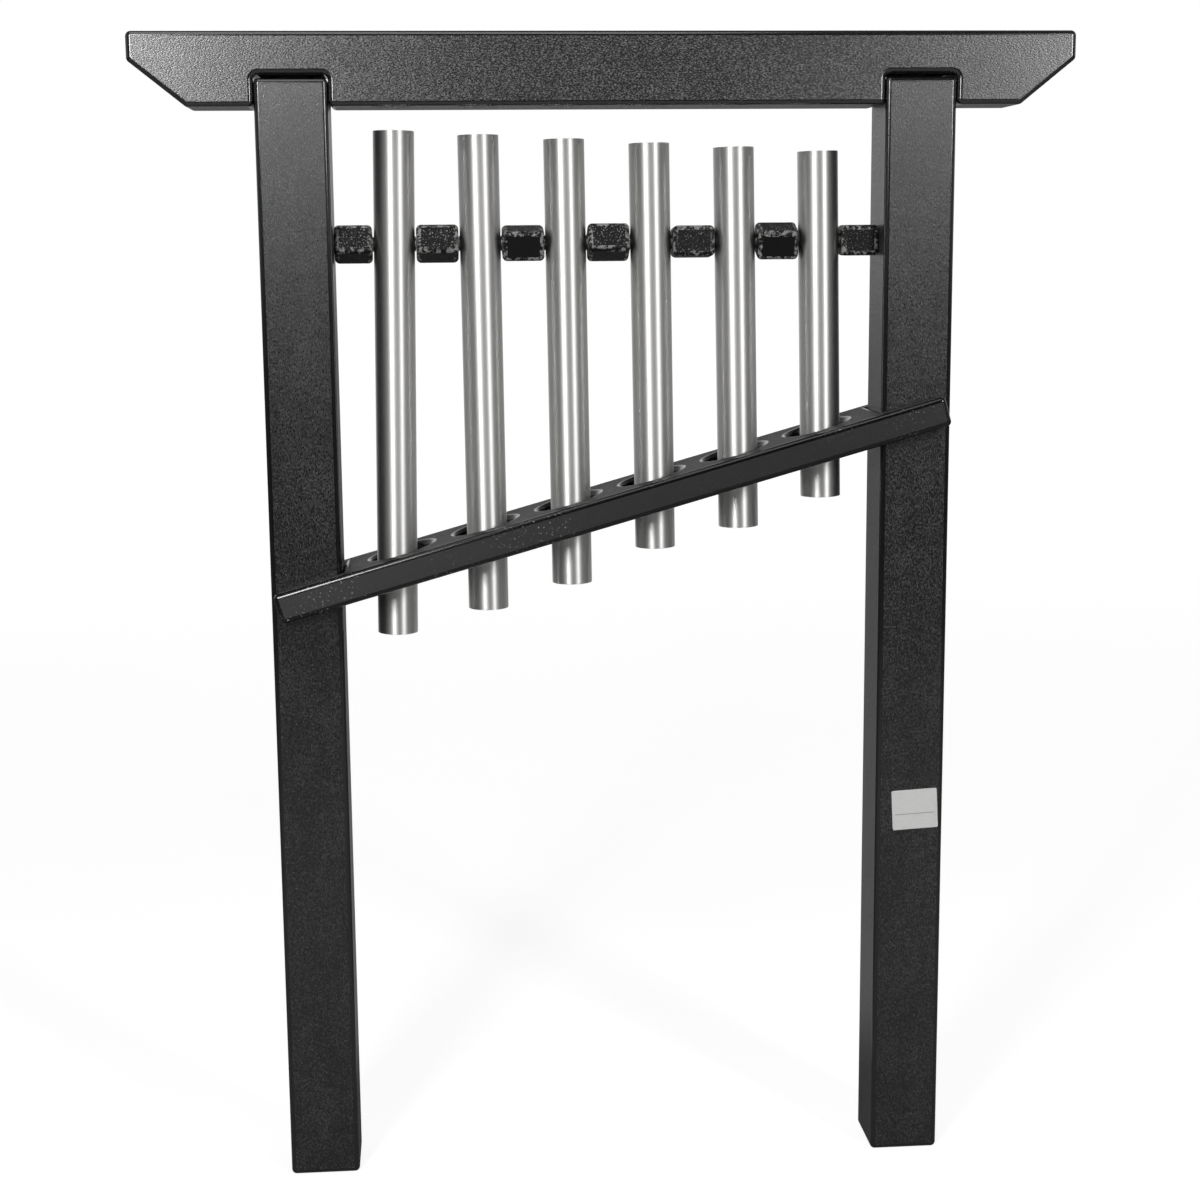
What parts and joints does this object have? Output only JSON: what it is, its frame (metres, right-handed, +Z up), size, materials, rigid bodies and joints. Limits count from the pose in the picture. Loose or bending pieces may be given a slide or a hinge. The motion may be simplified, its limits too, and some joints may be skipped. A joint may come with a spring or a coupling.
{
  "type": "playground chimes",
  "caption": "Outdoor chimes for a playground: tuned metal tubes hang on a rod between loose square blocks, in a frame of black plastic lumber with a sloping lower rail.",
  "frame": {"origin": "on the ground plane under the posts, midway between the two posts and at the middle of the frame's depth", "axes": "+Z up, +X to the right as seen from the front, -Y towards the viewer in front"},
  "size_m": [1.1584, 0.1396, 1.4576],
  "materials": {
    "black_plastic_lumber": "finely textured black plastic lumber, routed edges smooth",
    "black_block_plastic": "black plastic with light flecks and worn edges",
    "satin_aluminium": "satin drawn tube, fine grain along its length",
    "stainless_steel": "plain stainless steel",
    "black_rubber": "matte black rubber"
  },
  "bodies": {
    "frame": {"beam_bolt_washer_left_1": "stainless_steel", "beam_bolt_washer_left_2": "stainless_steel", "beam_bolt_washer_right_1": "stainless_steel", "beam_bolt_washer_right_2": "stainless_steel", "beam_lag_bolt_left_1": "stainless_steel", "beam_lag_bolt_left_2": "stainless_steel", "beam_lag_bolt_right_1": "stainless_steel", "beam_lag_bolt_right_2": "stainless_steel", "left_post": "black_plastic_lumber", "lower_rail": "black_plastic_lumber", "rail_screw_left_1": "stainless_steel", "rail_screw_left_2": "stainless_steel", "rail_screw_right_1": "stainless_steel", "rail_screw_right_2": "stainless_steel", "right_post": "black_plastic_lumber", "rod_cap_nut_left": "stainless_steel", "rod_cap_nut_right": "stainless_steel", "rod_washer_left": "stainless_steel", "rod_washer_right": "stainless_steel", "support_rod": "stainless_steel", "top_beam": "black_plastic_lumber"},
    "tube_1": {"chime_tube_1": "satin_aluminium", "tube_grommet_1_left": "black_rubber", "tube_grommet_1_right": "black_rubber"},
    "tube_2": {"chime_tube_2": "satin_aluminium", "tube_grommet_2_left": "black_rubber", "tube_grommet_2_right": "black_rubber"},
    "tube_3": {"chime_tube_3": "satin_aluminium", "tube_grommet_3_left": "black_rubber", "tube_grommet_3_right": "black_rubber"},
    "tube_4": {"chime_tube_4": "satin_aluminium", "tube_grommet_4_left": "black_rubber", "tube_grommet_4_right": "black_rubber"},
    "tube_5": {"chime_tube_5": "satin_aluminium", "tube_grommet_5_left": "black_rubber", "tube_grommet_5_right": "black_rubber"},
    "tube_6": {"chime_tube_6": "satin_aluminium", "tube_grommet_6_left": "black_rubber", "tube_grommet_6_right": "black_rubber"},
    "block_1": {"spacer_block_1": "black_block_plastic"},
    "block_2": {"spacer_block_2": "black_block_plastic"},
    "block_3": {"spacer_block_3": "black_block_plastic"},
    "block_4": {"spacer_block_4": "black_block_plastic"},
    "block_5": {"spacer_block_5": "black_block_plastic"},
    "block_6": {"spacer_block_6": "black_block_plastic"},
    "block_7": {"spacer_block_7": "black_block_plastic"}
  },
  "joints": [
    {"name": "tube_1_swing", "type": "hinge", "parent": "frame", "child": "tube_1", "pos_m": [-0.26625, 0, 1.2043], "axis": [1, 0, 0], "range_deg": [-1.35, 1.35]},
    {"name": "tube_2_swing", "type": "hinge", "parent": "frame", "child": "tube_2", "pos_m": [-0.15975, 0, 1.2043], "axis": [1, 0, 0], "range_deg": [-1.7, 1.7]},
    {"name": "tube_3_swing", "type": "hinge", "parent": "frame", "child": "tube_3", "pos_m": [-0.05325, 0, 1.2043], "axis": [1, 0, 0], "range_deg": [-1.8, 1.8]},
    {"name": "tube_4_swing", "type": "hinge", "parent": "frame", "child": "tube_4", "pos_m": [0.05325, 0, 1.2043], "axis": [1, 0, 0], "range_deg": [-1.9, 1.9]},
    {"name": "tube_5_swing", "type": "hinge", "parent": "frame", "child": "tube_5", "pos_m": [0.15975, 0, 1.2043], "axis": [1, 0, 0], "range_deg": [-2, 2]},
    {"name": "tube_6_swing", "type": "hinge", "parent": "frame", "child": "tube_6", "pos_m": [0.26625, 0, 1.2043], "axis": [1, 0, 0], "range_deg": [-2.2, 2.2]},
    {"name": "block_1_turn", "type": "hinge", "parent": "frame", "child": "block_1", "pos_m": [-0.3168, 0, 1.2043], "axis": [1, 0, 0], "continuous": true},
    {"name": "block_2_turn", "type": "hinge", "parent": "frame", "child": "block_2", "pos_m": [-0.213, 0, 1.2043], "axis": [1, 0, 0], "continuous": true},
    {"name": "block_3_turn", "type": "hinge", "parent": "frame", "child": "block_3", "pos_m": [-0.1065, 0, 1.2043], "axis": [1, 0, 0], "continuous": true},
    {"name": "block_4_turn", "type": "hinge", "parent": "frame", "child": "block_4", "pos_m": [0, 0, 1.2043], "axis": [1, 0, 0], "continuous": true},
    {"name": "block_5_turn", "type": "hinge", "parent": "frame", "child": "block_5", "pos_m": [0.1065, 0, 1.2043], "axis": [1, 0, 0], "continuous": true},
    {"name": "block_6_turn", "type": "hinge", "parent": "frame", "child": "block_6", "pos_m": [0.213, 0, 1.2043], "axis": [1, 0, 0], "continuous": true},
    {"name": "block_7_turn", "type": "hinge", "parent": "frame", "child": "block_7", "pos_m": [0.3168, 0, 1.2043], "axis": [1, 0, 0], "continuous": true}
  ]
}
